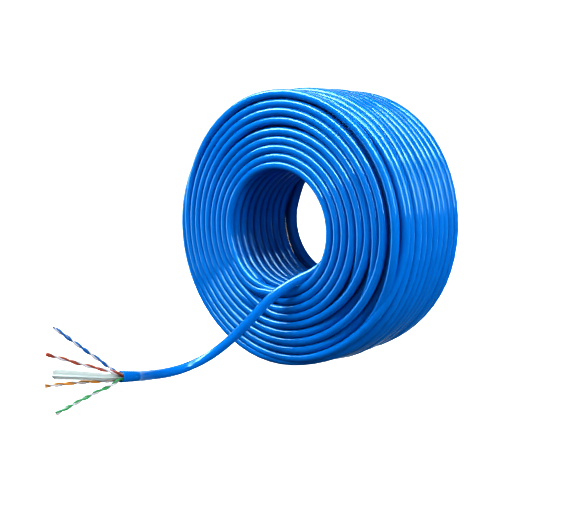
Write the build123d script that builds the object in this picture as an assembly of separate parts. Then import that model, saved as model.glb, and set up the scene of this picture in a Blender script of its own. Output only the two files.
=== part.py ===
from build123d import *
import os
from math import ceil, cos, pi, radians, sin, sqrt, tan

# A coil of four-pair network cable with its inner end led out and stripped.
# Millimetres. The coil stands on its rim, its axis along Y, and the stripped end lies towards -Y.
# The origin is on the floor, under the middle of the coil.

os.makedirs("parts", exist_ok=True)

# ---- the cable ----
cable_d = 6.2           # outside of the jacket
jacket_wall = 0.45
wire_d = 0.92           # one insulated conductor
copper_d = 0.57         # 23 AWG
copper_clearance = 0.01
wire_gap = 0.05         # between the two conductors of a pair
twist_pitch = {"blue": 12.5, "brown": 14.5, "orange": 13.5, "green": 11.5}
fin_thickness = 0.4
fin_clearance = 0.05    # from a fin's edge to the jacket

# ---- the coil ----
bore_r = 39.0
turn_pitch = 6.7        # along the coil's axis
turns = 11
layers = 10
press_depth = 0.1       # how far a turn presses into the two that it lies on
outer_first_turn = 1    # the outermost layer starts behind the front rim
floor_flat = 0.7        # how far the coil's weight flattens its underside
outer_end_gap = 0.05    # from the cable's outer end to the turns under it
outer_end_from, outer_end_to = -130.0, 200.0  # degrees round the axis, 0 at +X

# ---- the free end ----
free_end_turn = 2       # the innermost layer's turn that it comes from
bend_share = 0.45       # how much of its shorter run each bend may use

# ---- the stripped end ----
mouth_depth = 5.5       # how deep the jacket is open
wire_depth = 5.0        # how far into it the modelled conductors reach
knee_height = 1.6       # how far out of the mouth the pairs start to spread
splay_height, splay_r = 4.4, 3.9  # where they are clear of the separator's fins
splay_bend_r = 2.0
separator_straight = 7.0
separator_bend_r = 20.0
steps_per_twist = 6

layer_pitch = sqrt((cable_d - press_depth) ** 2 - (turn_pitch / 2) ** 2)
last_layer = layers - 1


def layer_r(layer):
    """Radius of the cable's centre in a layer, counted from the bore outwards."""
    return bore_r + cable_d / 2 + layer * layer_pitch


def turn_y(layer, turn):
    """Place of a turn along the axis. Each layer lies half a turn off the one under it."""
    shift = 0.25 if layer % 2 else -0.25
    return (turn - (turns - 1) / 2 + shift) * turn_pitch


outer_r = layer_r(last_layer) + cable_d / 2
axis_z = outer_r - floor_flat
coil_axis = Axis((0, 0, axis_z), (0, 1, 0))
below_floor = Pos(0, 0, -outer_r) * Box(4 * outer_r, 4 * outer_r, 2 * outer_r)

# The free end inside the coil: degrees round the axis, distance in from the bore's wall to the
# cable's middle, and place along the axis from the turn that it comes from.
in_bore = [
    (84.5, -cable_d / 2, 0.0), (59.2, -0.1, -0.2), (32.6, 1.6, -1.7), (5.6, 1.6, -3.2),
    (-17.5, 1.2, -5.2), (-37.7, 2.4, -8.7), (-58.6, 6.4, -14.2),
]
# Then over the bore's lip, down to the floor and up to the mouth of the jacket.
out_of_bore = [
    (3.5, -45.5, 54), (-7, -53, 37.5), (-18, -58.5, 22), (-30, -66, 10), (-39, -78.5, 3.6),
    (-41.5, -93.5, 3.2), (-38.5, -108.5, 6.5), (-33, -122, 10.3), (-28.5, -133.5, 14.3),
    (-28.8, -144.5, 16.8),
]


def bore_point(angle, depth, along):
    """A point of the free end inside the coil, held to the bore's wall and its own turn."""
    r = bore_r - depth
    y = turn_y(0, free_end_turn) + along
    return (r * cos(radians(angle)), y, axis_z + r * sin(radians(angle)))


free_end = [bore_point(*place) for place in in_bore] + out_of_bore

# Where each pair's and the separator's tip is, from the middle of the mouth. In the jacket the
# pairs lie in this order, a quarter turn apart, with the separator's fins halfway between them.
pair_tips = {
    "blue": (-22.4, -22.3, 29.5),
    "brown": (-20.6, -28.7, 16.1),
    "orange": (-24.6, -27.8, -3.0),
    "green": (-8.2, -32.7, -13.6),
}
separator_tip = (-15.4, -29.1, 6.0)
first_pair_angle = 75.0  # of the first pair, in degrees round the mouth
quarter = 90.0
pair_places = {name: first_pair_angle + quarter * i for i, name in enumerate(pair_tips)}


def smooth_path(points, name=None):
    """Straight runs joined by tangent arcs, each as large as its two runs allow."""
    points = [Vector(*p) if isinstance(p, tuple) else p for p in points]
    radii = []
    for before, here, after in zip(points, points[1:], points[2:]):
        turn = radians((here - before).get_angle(after - here))
        shorter = min((here - before).length, (after - here).length)
        radii.append(bend_share * shorter / tan(turn / 2))
    if name:
        print(name, "radii:", ", ".join(f"{r:.0f}" for r in radii))
    return FilletPolyline(*points, radius=radii)


def tube(path, outside, inside=0.0):
    """A round bar along a path, or a pipe if it has an inside diameter."""
    start = Plane(origin=path @ 0, z_dir=path % 0)
    section = Circle(outside / 2)
    if inside:
        section = section - Circle(inside / 2)
    return sweep(start * section, path=path)


def save(shape, name, color):
    shape.label = name
    shape.color = Color(*color)
    export_step(shape, f"parts/{name}.step")


# ---- coil ----
def coil_section():
    """Half section of the finished coil: its outline is the row of turns that shows."""
    inner = [(0, turn) for turn in range(turns)]
    back = [(layer, turns - 1) for layer in range(1, last_layer)]
    outer = [(last_layer, turn) for turn in range(turns - 2, outer_first_turn - 1, -1)]
    front = [(layer, 0) for layer in range(last_layer - 1, 0, -1)]
    outline = [(turn_y(*place), axis_z + layer_r(place[0])) for place in inner + back + outer + front]
    section = make_face(Polyline(*outline, close=True))
    for y, z in outline:
        section += Pos(y, z) * Circle(cable_d / 2)
    return section


winding = revolve(Plane.YZ * coil_section(), axis=coil_axis) - below_floor
save(winding, "cable_winding", (0.0, 0.25, 0.75))

# The cable's outer end: the last turn at the back, lying in the groove over the turns under it.
under_gap = cable_d + outer_end_gap
outer_end_r = layer_r(last_layer - 1) + sqrt(under_gap ** 2 - (turn_pitch / 2) ** 2)
end_section = Plane.YZ * Pos(turn_y(last_layer, turns - 1), axis_z + outer_end_r) * Circle(cable_d / 2)
end_arc = revolve(end_section, axis=coil_axis, revolution_arc=outer_end_to - outer_end_from)
# The section stands at 90 degrees; a turn about +Y runs from +Z towards +X.
outer_end = end_arc.rotate(coil_axis, 90 - outer_end_to) - below_floor
save(outer_end, "cable_outer_end", (0.0, 0.28, 0.8))

# ---- free end ----
free_path = smooth_path(free_end, "free end")
mouth = Vector(*free_end[-1])
mouth_dir = (mouth - Vector(*free_end[-2])).normalized()
mouth_plane = Plane(origin=mouth, x_dir=Vector(1, 0, 0), z_dir=mouth_dir)
jacket_id = cable_d - 2 * jacket_wall
mouth_hole = extrude(mouth_plane * Circle(jacket_id / 2), amount=-mouth_depth)
free_jacket = tube(free_path, cable_d) - mouth_hole
save(free_jacket, "cable_free_end", (0.0, 0.3, 0.85))
expected = pi * cable_d ** 2 / 4 * free_path.length - mouth_hole.volume
print(f"free end: length {free_path.length:.1f}, volume {free_jacket.volume:.0f} of {expected:.0f}")

# ---- separator between the pairs ----
fin_width = jacket_id - 2 * fin_clearance
fin = SlotOverall(fin_width, fin_thickness)
cross = Rot(0, 0, first_pair_angle + quarter / 2) * (fin + Rot(0, 0, quarter) * fin)
inside_end = mouth - mouth_dir * wire_depth
separator_knee = mouth + mouth_dir * separator_straight
separator_path = FilletPolyline(
    inside_end, separator_knee, mouth + Vector(*separator_tip), radius=separator_bend_r
)
cross_plane = Plane(origin=inside_end, x_dir=Vector(1, 0, 0), z_dir=mouth_dir)
save(sweep(cross_plane * cross, path=separator_path), "pair_separator", (0.9, 0.9, 0.88))


# ---- twisted pairs ----
half_step = radians(180 / steps_per_twist)
wire_offset = (wire_d + wire_gap) / 2 / cos(half_step)
pair_r = wire_offset + wire_d / 2
place_r = jacket_id / 2 - pair_r - fin_clearance / 2


def wire_points(name, side):
    """Corners of one conductor's path, winding round the middle of its pair."""
    angle = radians(pair_places[name])
    across = mouth_plane.x_dir * cos(angle) + mouth_plane.y_dir * sin(angle)
    root = inside_end + across * place_r
    knee = mouth + mouth_dir * knee_height + across * place_r
    clear = mouth + mouth_dir * splay_height + across * splay_r
    tip = mouth + Vector(*pair_tips[name])
    middle = FilletPolyline(root, knee, clear, tip, radius=splay_bend_r)
    upright = (tip - root).cross(across).normalized()
    steps = ceil(middle.length / twist_pitch[name] * steps_per_twist)
    points = []
    for step in range(steps + 1):
        turned = side + radians(360 / steps_per_twist) * step
        along = middle % (step / steps)
        sideways = (upright - along * upright.dot(along)).normalized()
        offset = sideways * cos(turned) + along.cross(sideways) * sin(turned)
        points.append(middle @ (step / steps) + offset * wire_offset)
    return points


colors = {"blue": (0.05, 0.2, 0.7), "brown": (0.45, 0.2, 0.1), "orange": (0.9, 0.5, 0.1),
          "green": (0.1, 0.6, 0.25)}
white = (0.93, 0.93, 0.93)
copper = (0.8, 0.45, 0.25)
for name in pair_tips:
    for wire, side, color in ((name, 0.0, colors[name]), (f"white_{name}", radians(180), white)):
        path = smooth_path(wire_points(name, side))
        save(tube(path, wire_d, copper_d + 2 * copper_clearance), f"{wire}_insulation", color)
        save(tube(path, copper_d), f"{wire}_copper", copper)

print(f"outside {2 * outer_r:.1f}, width {turns * turn_pitch - turn_pitch / 2 + cable_d:.1f}, axis {axis_z:.2f}")
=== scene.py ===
from math import cos, pi, radians, sin

import bpy
from mathutils import Matrix, Vector, noise


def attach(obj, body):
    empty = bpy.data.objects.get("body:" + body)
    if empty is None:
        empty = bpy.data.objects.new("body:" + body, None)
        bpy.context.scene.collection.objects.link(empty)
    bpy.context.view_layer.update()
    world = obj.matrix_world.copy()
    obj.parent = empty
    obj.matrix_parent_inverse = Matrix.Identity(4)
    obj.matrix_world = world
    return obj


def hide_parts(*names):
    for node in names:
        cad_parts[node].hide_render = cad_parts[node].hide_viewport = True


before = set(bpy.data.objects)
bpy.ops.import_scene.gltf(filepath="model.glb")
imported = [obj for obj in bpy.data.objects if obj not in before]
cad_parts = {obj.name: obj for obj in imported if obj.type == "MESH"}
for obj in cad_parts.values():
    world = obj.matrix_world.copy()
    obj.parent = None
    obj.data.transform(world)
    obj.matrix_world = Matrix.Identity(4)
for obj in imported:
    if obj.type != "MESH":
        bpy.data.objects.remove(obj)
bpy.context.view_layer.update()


# ---- Studio ----
# A white board lies under the coil and runs away into a white surround. Four soft panels shape
# the coil and stay out of its gloss. Six pale blue panels show only as highlights on the jacket.
coil_middle = Vector((0, 0, 0.09))
board_reach = 60.0


def placed(name, data):
    """A new object with this data, in the scene."""
    obj = bpy.data.objects.new(name, data)
    bpy.context.collection.objects.link(obj)
    return obj


def plain_mesh(name, vertices, faces):
    """A smooth mesh object at the origin, with its place in its vertices."""
    mesh = bpy.data.meshes.new(name)
    mesh.from_pydata(vertices, [], faces)
    mesh.update()
    mesh.polygons.foreach_set("use_smooth", [True] * len(mesh.polygons))
    return placed(name, mesh)


def shader_of(name):
    """A new material and its main shader."""
    material = bpy.data.materials.new(name)
    material.use_nodes = True
    return material, material.node_tree.nodes["Principled BSDF"]


def joiner(tree):
    """Two short calls for one tree: add a node, and set or link a node's inputs.

    An input is named with _ for a space, or numbered as in i0.
    """
    def feed(node, **feeds):
        for key, value in feeds.items():
            numbered = key[0] == "i" and key[1:].isdigit()
            socket = node.inputs[int(key[1:]) if numbered else key.replace("_", " ")]
            if isinstance(value, bpy.types.NodeSocket):
                tree.links.new(value, socket)
            else:
                socket.default_value = value
        return node

    def add(kind, settings=None, **feeds):
        node = tree.nodes.new(kind)
        for key, value in (settings or {}).items():
            setattr(node, key, value)
        return feed(node, **feeds)

    return add, feed


camera_data = bpy.data.cameras.new("camera")
camera_data.lens = 44.36
camera_data.sensor_width = 36.0
camera_data.clip_end = 200.0
camera = placed("camera", camera_data)
camera.location = (0.2832, -0.3877, 0.1449)
camera.rotation_euler = (radians(90 - 8.818), 0, radians(37.734))
bpy.context.scene.camera = camera
bpy.context.scene.view_settings.view_transform = "Standard"
bpy.context.scene.view_settings.look = "High Contrast"

board_corners = [
    (x * board_reach, y * board_reach, 0) for x, y in ((-1, -1), (1, -1), (1, 1), (-1, 1))
]
board = plain_mesh("board", board_corners, [(0, 1, 2, 3)])
board_finish, board_shader = shader_of("white board")
_, feed = joiner(board_finish.node_tree)
feed(board_shader, Base_Color=(0.92, 0.92, 0.92, 1), Roughness=0.9,
     Emission_Color=(1, 1, 1, 1), Emission_Strength=1.0)
board.data.materials.append(board_finish)
# The board takes light and shadow, but throws none back up into the coil.
board.visible_diffuse = board.visible_glossy = False

# The camera sees plain white. Gloss sees a room that is bright only at the back left, and all
# other light from the surround is dim.
surround = bpy.data.worlds.new("white surround")
surround.use_nodes = True
add, feed = joiner(surround.node_tree)
toward = add("ShaderNodeSeparateXYZ", Vector=add("ShaderNodeTexCoord").outputs["Generated"])
back_left = add("ShaderNodeMath", {"operation": "SUBTRACT"},
                i0=toward.outputs["Y"], i1=toward.outputs["X"])
brightness = add("ShaderNodeMapRange", Value=back_left.outputs["Value"],
                 From_Min=0.80, From_Max=1.20, To_Min=0.02, To_Max=1.0)
room = feed(surround.node_tree.nodes["Background"],
            Color=(0.70, 0.88, 1, 1), Strength=brightness.outputs["Result"])
dim = add("ShaderNodeBackground", Color=(0.90, 0.95, 1, 1), Strength=0.10)
white_out = add("ShaderNodeBackground", Color=(1, 1, 1, 1))
ray = add("ShaderNodeLightPath").outputs
unseen = add("ShaderNodeMixShader", Fac=ray["Is Glossy Ray"], i1=dim.outputs[0], i2=room.outputs[0])
every = add("ShaderNodeMixShader", Fac=ray["Is Camera Ray"],
            i1=unseen.outputs[0], i2=white_out.outputs[0])
feed(surround.node_tree.nodes["World Output"], Surface=every.outputs[0])
bpy.context.scene.world = surround


def panel(name, place, watts, width, height, along=(0, 0, 1)):
    """A rectangular light facing the middle of the coil, with its height along a direction."""
    light = bpy.data.lights.new(name, "AREA")
    light.energy = watts
    light.shape = "RECTANGLE"
    light.size, light.size_y = width, height
    obj = placed(name, light)
    obj.location = place
    outward = (Vector(place) - coil_middle).normalized()
    across = Vector(along).cross(outward).normalized()
    turned = Matrix((across, outward.cross(across), outward)).transposed()
    obj.rotation_euler = turned.to_euler()
    return obj


soft_panels = [
    panel("key", (-0.22, -0.33, 0.48), 3.7, 0.34, 0.26),
    panel("right", (0.92, -0.12, 0.46), 9.2, 0.4, 0.4),
    panel("front", (0.45, -1.0, 0.30), 2.8, 0.5, 0.5),
    panel("behind", (-0.35, 1.1, 0.40), 9.0, 0.6, 0.6),
]
for soft in soft_panels:
    soft.visible_camera = soft.visible_glossy = False

pale_blue = (0.57, 0.87, 1.0)
highlight_panels = [
    panel("forward strip", (-0.16, -0.61, 1.11), 54.0, 0.32, 2.15, (0.966, -0.256, -0.02)),
    panel("top strip", (-0.64, -0.12, 1.10), 10.0, 0.16, 1.2),
    panel("high right strip", (0.42, -0.30, 1.08), 7.0, 0.30, 0.9),
    panel("left panel", (-1.2, -0.40, 0.0), 4.5, 0.48, 0.6),
    panel("right strip", (1.10, -0.38, 0.75), 14.0, 0.26, 1.0, (-0.34, 0.02, 0.88)),
    panel("back strip", (0.62, 1.15, 0.16), 1.2, 0.08, 0.9),
]
for highlight in highlight_panels:
    highlight.data.color = pale_blue
    highlight.visible_camera = highlight.visible_diffuse = False


# ---- Cable ----
# About 45 m of four-pair network cable in a smooth blue PVC jacket, wound in ten layers of
# eleven turns. Each turn lies in the groove of the layer under it and crosses to the next groove
# at one side of the coil. The inner end is led out through the bore and stripped.
cable_d = 0.0062
cable_r = cable_d / 2
axis_z = 0.09038
bore_r = 0.039
turns = 11
turn_pitch = 0.0070
middle_y = 0.0015
last_layer = 9
layer_pitch = 0.005098
ends = {0, turns - 1}

# The front face has slumped. A layer's first three turns follow it by these shares.
face_y = -0.0343
face_shares = (1.0, 0.5, 0.2)
# The outermost layer's turns 1 to 3 sink by these depths, and turn 1 comes forward to the rim.
sunk = (0.0034, 0.0020, 0.0009)
rim_y, rim_r = -0.0338, 0.0852


def layer_r(layer):
    """The radius of a layer's middle."""
    return bore_r + cable_r + layer * layer_pitch


def slot_y(layer, turn):
    """Place along the axis of one turn. Every other layer is half a turn off."""
    stagger = 0.25 if layer % 2 else -0.25
    return middle_y + (turn - (turns - 1) / 2 + stagger) * turn_pitch


def ease(x, low, high):
    """A smooth rise from 0 to 1 between two values."""
    t = min(max((x - low) / (high - low), 0.0), 1.0)
    return t * t * (3 - 2 * t)


def swell(angle, middle, reach):
    """A smooth hump, 1 at one angle round the coil and 0 farther from it than its reach."""
    away = abs((angle - middle + 180) % 360 - 180)
    return 0.5 + 0.5 * cos(pi * min(away / reach, 1.0))


def face_ring_r(layer, angle):
    """The radius of a ring in the front face, which is tight on the left and loose at the top."""
    across, up = cos(radians(angle)), sin(radians(angle))
    innermost = 0.04085 - 0.00055 * across + 0.0005 * up
    pitch = 0.00510 + 0.00025 * across + 0.00020 * up ** 2
    r = innermost + pitch * layer
    if layer >= 5:
        # A gap has opened inside the sixth ring, at the top.
        r += 0.0017 * swell(angle, 108, 70)
    if layer == last_layer - 1:
        r += 0.0022 * swell(angle, 20, 75) + 0.0012 * swell(angle, 130, 60)
    return r


def outer_lie(turn, angle, r, y):
    """Where the outermost layer really lies: sunk towards the front, but not on the right."""
    full_circle = angle % 360
    if turn > 5:
        # Towards the back it bulges at the upper and lower right.
        r += 0.00034 * (turn - 5) * (swell(angle, 45, 50) + swell(angle, 315, 50))
    if turn <= len(sunk):
        r -= sunk[turn - 1] * (ease(full_circle, 35, 80) - ease(full_circle, 285, 325))
    if turn == 1:
        rim = ease(full_circle, 120, 165) - ease(full_circle, 272, 318)
        y += (rim_y - y) * rim
        r += (rim_r + 0.0007 * swell(angle, 262, 70) - r) * rim
        at_right = swell(angle, 0, 80)
        y -= 0.0020 * at_right
        r -= 0.0004 * at_right
    return r, y


def lie(slot, angle):
    """Where a turn lies: radius and place along the axis, at an angle round the coil."""
    layer, turn = slot
    r, y = layer_r(layer), slot_y(layer, turn)
    uneven_r, uneven_y, turns_apart = 0.0005, 0.0006, 0.45
    if layer == last_layer:
        r, y = outer_lie(turn, angle, r, y)
        # Nothing holds this layer down, so it lies less evenly.
        uneven_r, uneven_y, turns_apart = 0.0010, 0.00144, 0.8
    elif turn < len(face_shares):
        r += (face_ring_r(layer, angle) - r) * face_shares[turn]
        if turn == 0:
            y = face_y + 0.0001 * (layer % 2)
            if layer == 5:
                y += 0.0006 * swell(angle, 84, 46)
    if layer == 0 and turn > 7:
        # The bore is a little tighter at the back.
        r -= 0.0004 * (turn - 7)
    seed = Vector((1.1 * cos(radians(angle)), 1.1 * sin(radians(angle)),
                   layer * 3.1 + turn * turns_apart))
    r += uneven_r * noise.noise(seed)
    y += uneven_y * noise.noise(seed + Vector((0, 0, 31.7)))
    return r, y


# The order of winding: (layer, turn). The first layer fills its two front slots last.
slots = [(0, turn) for turn in range(2, turns)]
steep_lap = len(slots) - 1
slots += [(1, 0), (0, 0), (0, 1)]
for layer in range(1, last_layer + 1):
    forwards = range(1 if layer == last_layer else 0, turns)
    slots += [(layer, turn) for turn in (forwards if layer % 2 else reversed(forwards))]


def crossing(lap, angle):
    """How far out and how far along the cable has gone towards the next lap's slot, 0 to 1."""
    (layer, turn), (next_layer, next_turn) = slots[lap], slots[lap + 1]
    if lap == steep_lap:
        # The cable climbs first, then runs the whole length of the coil back to the front.
        return ease(angle, 88, 128), ease(angle, 110, 420)
    wander = 12 * noise.noise(Vector((lap * 0.37, 7.3, 0.0)))
    at_back = max(turn, next_turn) > 5
    tight = layer < 4 and not at_back
    middle = 120 if at_back else 256 if tight else 316
    if not tight:
        middle += 0.5 * wander
    if layer != next_layer:
        low, high = (-14, 14) if tight else (-16, 44)
    elif tight:
        low, high = (-20, 8) if turn else (-8, 20)
    elif ends & {turn, next_turn} and layer != last_layer:
        low, high = (-22, 12) if turn in ends else (0, 34)
    else:
        # Inside a layer the cable moves over in two half steps.
        first = ease(angle, 320 + wander, 340 + wander)
        second = ease(angle, 372 + wander, 424 + wander)
        return (0.5 * first + 0.5 * second,) * 2
    return (ease(angle, middle + low, middle + high),) * 2


def between(start, finish, shares):
    """A radius and a place along the axis, each a share of the way from start to finish."""
    return tuple(a + (b - a) * share for a, b, share in zip(start, finish, shares))


def centre(lap, angle):
    """The cable's middle on one lap, at an angle round the axis, 0 at +X and 90 at the top."""
    here = lie(slots[lap], angle)
    if lap + 1 < len(slots):
        here = between(here, lie(slots[lap + 1], angle), crossing(lap, angle))
    if lap:
        here = between(lie(slots[lap - 1], angle), here, crossing(lap - 1, angle + 360))
    return here


# The route starts at the stripped end, comes in through the bore and goes round lap by lap.
free_end = [
    (0.0040, -0.0218, 0.1323), (0.0200, -0.0218, 0.1240), (0.0315, -0.0225, 0.1105),
    (0.0372, -0.0235, 0.0940), (0.0358, -0.0245, 0.0785), (0.0284, -0.0284, 0.0672),
    (0.0165, -0.0358, 0.0608), (0.0035, -0.0455, 0.0500), (-0.0074, -0.0530, 0.0345),
    (-0.0180, -0.0585, 0.0220), (-0.0300, -0.0660, 0.0100), (-0.0390, -0.0785, 0.0036),
    (-0.0415, -0.0935, 0.0032), (-0.0385, -0.1085, 0.0065), (-0.0330, -0.1220, 0.0103),
    (-0.0284, -0.1320, 0.0138), (-0.0286, -0.1405, 0.0158),
]
route = list(reversed(free_end))
start_angle, end_angle = 84.5, 200.0
angle_step = 22.5
# A quadratic spline runs inside its control points, by this much on a full turn.
inside_points = 0.981
angle = start_angle + angle_step
while angle <= end_angle + 360 * (len(slots) - 1):
    lap, lap_angle = divmod(angle, 360)
    r, y = centre(int(lap), lap_angle)
    x = r / inside_points * cos(radians(lap_angle))
    z = axis_z + r / inside_points * sin(radians(lap_angle))
    route.append((x, y, max(z, cable_r)))
    angle += angle_step


def mesh_of(obj):
    """A plain mesh of the object as it is now, with its curves and modifiers worked out."""
    bpy.context.view_layer.update()
    return bpy.data.meshes.new_from_object(
        obj.evaluated_get(bpy.context.evaluated_depsgraph_get()))


def spline_points(name, places, resolution):
    """The places' own smooth line: points read from a NURBS spline that they control."""
    curve = bpy.data.curves.new(name, "CURVE")
    curve.dimensions = "3D"
    curve.resolution_u = resolution
    spline = curve.splines.new("NURBS")
    spline.points.add(len(places) - 1)
    for point, place in zip(spline.points, places):
        point.co = (*place, 1.0)
    spline.order_u = 3
    spline.use_endpoint_u = True
    line = placed(name, curve)
    mesh = mesh_of(line)
    points = [v.co.copy() for v in mesh.vertices]
    bpy.data.objects.remove(line)
    bpy.data.curves.remove(curve)
    bpy.data.meshes.remove(mesh)
    return points


path = spline_points("cable_line", route, 4)


def tube_r(place):
    """The tube's radius. The turns in the front face are drawn tight, and a little thinner."""
    forward, from_axis = -place.y, Vector((place.x, place.z - axis_z)).length
    in_face = ease(forward, 0.0280, 0.0318) * (1 - ease(forward, 0.0385, 0.0415))
    return cable_r * (1 - 0.14 * in_face * ease(from_axis, 0.0382, 0.0396))


# From the bottom of the mouth out over its cut edge, then back along the outside: how far each
# ring is from the end, and its radius. The cut has left the lip a little wide.
mouth_depth = 0.0055
inner_r = cable_r - 0.00045
lip = [
    (mouth_depth, inner_r * 0.02), (mouth_depth, inner_r * 0.98), (0.0012, inner_r),
    (0.0003, inner_r + 0.0001), (0.0, inner_r + 0.00022), (-0.0001, inner_r + 0.0004),
    (0.0, cable_r + 0.00025), (0.0004, cable_r + 0.00038), (0.0016, cable_r + 0.00032),
    (0.0050, cable_r + 0.00020), (0.0120, cable_r),
]
lip_end = 0.0125
tangent = (path[1] - path[0]).normalized()
side = tangent.orthogonal().normalized()
rings = [(path[0] + tangent * back, side, tangent, r) for back, r in lip]
along = [back for back, r in lip]
travelled = 0.0
for before, here, after in zip(path, path[1:], path[2:] + [path[-1] * 2 - path[-2]]):
    travelled += (here - before).length
    tangent = (after - before).normalized()
    side = (side - tangent * side.dot(tangent)).normalized()
    if travelled > lip_end:
        rings.append((here, side, tangent, tube_r(here)))
        along.append(travelled)

sides = 12
vertices = []
for place, side, tangent, r in rings:
    up = tangent.cross(side)
    for i in range(sides):
        turn = 2 * pi * i / sides
        vertices.append(place + side * (r * cos(turn)) + up * (r * sin(turn)))
faces = [tuple(reversed(range(sides)))]
for low in range(0, len(vertices) - sides, sides):
    for i in range(sides):
        j = (i + 1) % sides
        faces.append((low + i, low + j, low + sides + j, low + sides + i))
faces.append(tuple(range(len(vertices) - sides, len(vertices))))
cable = plain_mesh("cable", vertices, faces)
# U goes once round the cable and V is metres along it.
uv = cable.data.uv_layers.new(name="UVMap")
for polygon in cable.data.polygons:
    corners = [(cable.data.loops[k].vertex_index, k) for k in polygon.loop_indices]
    wraps = len(corners) == 4 and {c % sides for c, _ in corners} == {0, sides - 1}
    for vertex, loop in corners:
        i = vertex % sides or (sides if wraps else 0)
        uv.data[loop].uv = (i / sides, along[vertex // sides])


def ramp(add, factor, *stops):
    """The colour from a ramp with these stops, each a position and a colour."""
    node = add("ShaderNodeValToRGB", Fac=factor)
    elements = node.color_ramp.elements
    for element, (position, colour) in zip(elements, stops):
        element.position, element.color = position, colour
    for position, colour in stops[2:]:
        elements.new(position).color = colour
    return node.outputs["Color"]


# The colour and the gloss drift slowly along the cable, and the skin has a fine orange peel.
jacket, jacket_shader = shader_of("blue PVC")
add, feed = joiner(jacket.node_tree)
where = add("ShaderNodeTexCoord").outputs
stretched = add("ShaderNodeMapping", Vector=where["UV"], Scale=(1.5, 25.0, 1.0))
drift = add("ShaderNodeTexNoise", Vector=stretched.outputs["Vector"], Scale=1.0, Detail=3.0)
drift = drift.outputs["Fac"]
gloss = add("ShaderNodeMapRange", Value=drift, From_Min=0.3, From_Max=0.7, To_Min=0.11, To_Max=0.16)
peel = add("ShaderNodeTexNoise", Vector=where["Object"], Scale=1100.0, Detail=2.0)
bump = add("ShaderNodeBump", Height=peel.outputs["Fac"], Strength=0.012, Distance=0.00003)
feed(jacket_shader,
     Base_Color=ramp(add, drift, (0.3, (0.0, 0.148, 0.48, 1)), (0.7, (0.0, 0.172, 0.55, 1))),
     Roughness=gloss.outputs["Result"], Normal=bump.outputs["Normal"])
cable.data.materials.append(jacket)
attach(cable, "root")
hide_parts("cable_winding", "cable_outer_end", "cable_free_end")


# ---- Separator ----
# The cross-shaped filler that keeps the four pairs apart: clear-white polyethylene, extruded as
# four thin fins with rounded edges, and cut square a little short of the wires.
mouth = path[0]
out = (path[0] - path[1]).normalized()
mouth_y = out.cross(Vector((1, 0, 0))).normalized()
mouth_x = mouth_y.cross(out).normalized()
inside = mouth - out * 0.005
separator_tip = Vector((-0.0156, -0.0331, 0.0070))


def line_object(name, places, resolution=12):
    """A mesh of bare edges along the places' smooth line, for a node tree to build on."""
    points = spline_points(name, places, resolution)
    mesh = bpy.data.meshes.new(name)
    mesh.from_pydata(points, [(i, i + 1) for i in range(len(points) - 1)], [])
    return placed(name, mesh)


def new_tree(name, **inputs):
    """A geometry tree that takes and gives geometry, with inputs given as name=kind."""
    tree = bpy.data.node_groups.new(name, "GeometryNodeTree")
    tree.interface.new_socket("Geometry", in_out="INPUT", socket_type="NodeSocketGeometry")
    for label, kind in inputs.items():
        tree.interface.new_socket(label, in_out="INPUT", socket_type="NodeSocket" + kind)
    tree.interface.new_socket("Geometry", in_out="OUTPUT", socket_type="NodeSocketGeometry")
    return tree


def made_by(obj, tree, **values):
    """The plain mesh that the tree makes of the object, under the object's name."""
    modifier = obj.modifiers.new(tree.name, "NODES")
    modifier.node_group = tree
    for item in tree.interface.items_tree:
        if item.in_out == "INPUT" and item.name in values:
            modifier[item.identifier] = values[item.name]
    name, mesh = obj.name, mesh_of(obj)
    bpy.data.objects.remove(obj)
    return placed(name, mesh)


def finish_tree(add, geometry, material):
    """The end of a tree: smooth shading, real geometry and the material."""
    smooth = add("GeometryNodeSetShadeSmooth", Geometry=geometry)
    real = add("GeometryNodeRealizeInstances", Geometry=smooth.outputs[0])
    dressed = add("GeometryNodeSetMaterial", Geometry=real.outputs[0], Material=material)
    add("NodeGroupOutput", Geometry=dressed.outputs[0])


fins = new_tree("fins", Width="Float", Thickness="Float", Turned="Float", Flare="Float",
                Material="Material")
add, feed = joiner(fins)
given = add("NodeGroupInput").outputs
line = add("GeometryNodeMeshToCurve", Mesh=given["Geometry"])
turned = add("GeometryNodeSetCurveTilt", Curve=line.outputs[0], Tilt=given["Turned"])
# The fins spread towards the tip, and round off at the very end.
factor = add("GeometryNodeSplineParameter").outputs["Factor"]
grow = add("ShaderNodeMapRange", Value=factor,
           From_Min=0.15, From_Max=0.95, To_Min=1.0, To_Max=given["Flare"])
last = add("ShaderNodeMapRange", Value=factor, From_Min=0.95, From_Max=1.0, To_Min=0.0, To_Max=1.0)
curved = add("ShaderNodeMath", {"operation": "POWER"}, i0=last.outputs[0], i1=3.0)
narrow = add("ShaderNodeMath", {"operation": "MULTIPLY_ADD"}, i0=curved.outputs[0], i1=-0.4, i2=1.0)
size = add("ShaderNodeMath", {"operation": "MULTIPLY"}, i0=grow.outputs[0], i1=narrow.outputs[0])
edge_r = add("ShaderNodeMath", {"operation": "MULTIPLY"}, i0=given["Thickness"], i1=0.49)
both = add("GeometryNodeJoinGeometry")
for wide, tall in (("Width", "Thickness"), ("Thickness", "Width")):
    section = add("GeometryNodeCurvePrimitiveQuadrilateral", Width=given[wide], Height=given[tall])
    rounded = add("GeometryNodeFilletCurve", {"mode": "POLY"},
                  Curve=section.outputs[0], Radius=edge_r.outputs[0], Count=4)
    fin = add("GeometryNodeCurveToMesh", Curve=turned.outputs[0], Profile_Curve=rounded.outputs[0],
              Scale=size.outputs[0], Fill_Caps=True)
    feed(both, i0=fin.outputs[0])
finish_tree(add, both.outputs[0], given["Material"])


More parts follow.
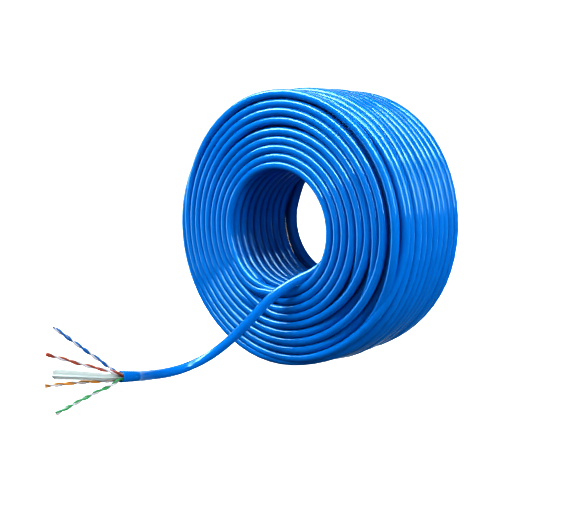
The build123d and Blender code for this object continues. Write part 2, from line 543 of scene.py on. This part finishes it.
def clouded(name, scale, light, dark, roughness, tracer=None):
    """A material that drifts between two colours, with a tracer stripe along it if one is given."""
    material, shader = shader_of(name)
    add, feed = joiner(material.node_tree)
    where = add("ShaderNodeTexCoord").outputs
    cloud = add("ShaderNodeTexNoise", Vector=where["Object"], Scale=scale, Detail=2.0)
    colour = ramp(add, cloud.outputs["Fac"], (0.0, light), (1.0, dark))
    if tracer:
        around = add("ShaderNodeSeparateXYZ", Vector=where["UV"])
        black, white = (0, 0, 0, 1), (1, 1, 1, 1)
        stripe = ramp(add, around.outputs["X"], (0.34, black), (0.38, white), (0.62, white),
                      (0.66, black))
        mix = add("ShaderNodeMix", {"data_type": "RGBA"}, Factor=stripe, A=colour, B=tracer)
        colour = mix.outputs["Result"]
    feed(shader, Base_Color=colour, Roughness=roughness)
    return material, shader


clear_white, clear_shader = clouded("clear white polyethylene", 180.0,
                                    (0.44, 0.51, 0.50, 1), (0.52, 0.58, 0.57, 1), 0.32)
clear_shader.inputs["Alpha"].default_value = 0.78
separator_line = [inside, mouth + out * 0.003, mouth + out * 0.009, mouth + separator_tip]
separator = made_by(
    line_object("separator", separator_line, 24), fins,
    Width=0.0036, Thickness=0.00040, Turned=radians(80), Flare=1.75, Material=clear_white)
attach(separator, "root")
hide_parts("pair_separator")


# ---- Twisted pairs ----
# Four pairs of 23-gauge copper wire in coloured insulation. One wire of each pair is the plain
# colour and its partner is white with a tracer of that colour. Each pair has a lay of its own.
wire_d = 0.00128
wire_r = wire_d / 2
copper_r = 0.00057 / 2
white = (0.45, 0.44, 0.47)
pairs = {
    # tip from the mouth's middle, degrees round the mouth, lay, colour
    "blue": ((-0.0226, -0.0263, 0.0305), 120, 0.0125, (0.0, 0.095, 0.33)),
    "brown": ((-0.0208, -0.0327, 0.0171), 42, 0.0145, (0.27, 0.042, 0.012)),
    "orange": ((-0.0248, -0.0318, -0.0020), 228, 0.0135, (0.58, 0.25, 0.03)),
    "green": ((-0.0084, -0.0367, -0.0126), 318, 0.0115, (0.045, 0.27, 0.085)),
}

wires = new_tree("one wire of a pair", Lay="Float", Offset="Float", Radius="Float", Start="Float",
                 Material="Material")
add, feed = joiner(wires)
given = add("NodeGroupInput").outputs
line = add("GeometryNodeMeshToCurve", Mesh=given["Geometry"])
fine = add("GeometryNodeResampleCurve", {"mode": "COUNT"}, Curve=line.outputs[0], Count=110)
# The wire winds round the pair's line, once in each lay.
far = add("GeometryNodeSplineParameter").outputs["Length"]
laps = add("ShaderNodeMath", {"operation": "DIVIDE"}, i0=far, i1=given["Lay"])
turned = add("ShaderNodeMath", {"operation": "MULTIPLY_ADD"},
             i0=laps.outputs[0], i1=2 * pi, i2=given["Start"]).outputs[0]
normal = add("GeometryNodeInputNormal").outputs[0]
tangent = add("GeometryNodeInputTangent").outputs[0]
across = add("ShaderNodeVectorMath", {"operation": "CROSS_PRODUCT"}, i0=tangent, i1=normal)
parts = []
for axis, wave in ((normal, "COSINE"), (across.outputs[0], "SINE")):
    share = add("ShaderNodeMath", {"operation": wave}, i0=turned)
    part = add("ShaderNodeVectorMath", {"operation": "SCALE"}, i0=axis, Scale=share.outputs[0])
    parts.append(part.outputs[0])
heading = add("ShaderNodeVectorMath", {"operation": "ADD"}, i0=parts[0], i1=parts[1])
offset = add("ShaderNodeVectorMath", {"operation": "SCALE"},
             i0=heading.outputs[0], Scale=given["Offset"])
length = add("GeometryNodeCaptureAttribute", Geometry=fine.outputs[0])
length.capture_items.new("FLOAT", "Length")
feed(length, Length=far)
wound = add("GeometryNodeSetPosition", Geometry=length.outputs[0], Offset=offset.outputs[0])
rolled = add("GeometryNodeSetCurveTilt", Curve=wound.outputs[0], Tilt=turned)
# U goes once round the wire and V is metres along it.
section = add("GeometryNodeCurvePrimitiveCircle", Resolution=14, Radius=given["Radius"])
around = add("GeometryNodeCaptureAttribute", Geometry=section.outputs[0])
around.capture_items.new("FLOAT", "Around")
feed(around, Around=add("GeometryNodeSplineParameter").outputs["Factor"])
swept = add("GeometryNodeCurveToMesh", Curve=rolled.outputs[0], Profile_Curve=around.outputs[0],
            Fill_Caps=True)
flat_place = add("ShaderNodeCombineXYZ", X=around.outputs["Around"], Y=length.outputs["Length"])
mapped = add("GeometryNodeStoreNamedAttribute", {"data_type": "FLOAT2", "domain": "CORNER"},
             Geometry=swept.outputs[0], Name="UVMap", Value=flat_place.outputs[0])
finish_tree(add, mapped.outputs[0], given["Material"])


def insulation(name, colour, tracer=None):
    """Glossy polyolefin of one colour, with a tracer stripe along it where one is given."""
    light = (*(0.82 * c for c in colour), 1)
    dark = (*(min(1.0, 1.12 * c) for c in colour), 1)
    return clouded(name, 420.0, light, dark, 0.45, tracer and (*tracer, 1))[0]


copper, copper_shader = clouded("drawn copper", 2500.0,
                                (0.62, 0.25, 0.12, 1), (0.90, 0.46, 0.28, 1), 0.28)
copper_shader.inputs["Metallic"].default_value = 1.0

wire_pieces = []
for name, (tip, place, lay, colour) in pairs.items():
    # A pair comes up beside the separator, bends over the lip and runs straight to its tip.
    side = mouth_x * cos(radians(place)) + mouth_y * sin(radians(place))
    tip = Vector(tip)
    beside = side * (inner_r - wire_d - 0.00002)
    bend = (out * 0.0044 + side * 0.0039) * 0.55 + tip * 0.12 + side * 0.0008
    middle = [
        inside + beside, mouth + out * 0.0008 + beside, mouth + out * 0.0036 + side * 0.0031,
        mouth + bend, mouth + tip * 0.5 + side * 0.0004, mouth + tip,
    ]
    # The copper stands 0.2 mm out of the cut end.
    core_middle = middle[:-1] + [middle[-1] + (middle[-1] - middle[-2]).normalized() * 0.0002]
    plain, partner = insulation(name, colour), insulation("white and " + name, white, colour)
    for wire, start, finish in ((name, 0.0, plain), ("white_" + name, pi, partner)):
        covered = made_by(line_object(wire + "_wire", middle), wires,
                          Lay=lay, Offset=wire_r, Radius=wire_r, Start=start, Material=finish)
        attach(covered, "root")
        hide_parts(wire + "_insulation")
        core = made_by(line_object(wire + "_core", core_middle), wires,
                       Lay=lay, Offset=wire_r, Radius=copper_r, Start=start, Material=copper)
        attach(core, "root")
        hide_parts(wire + "_copper")
        wire_pieces += [covered, core]
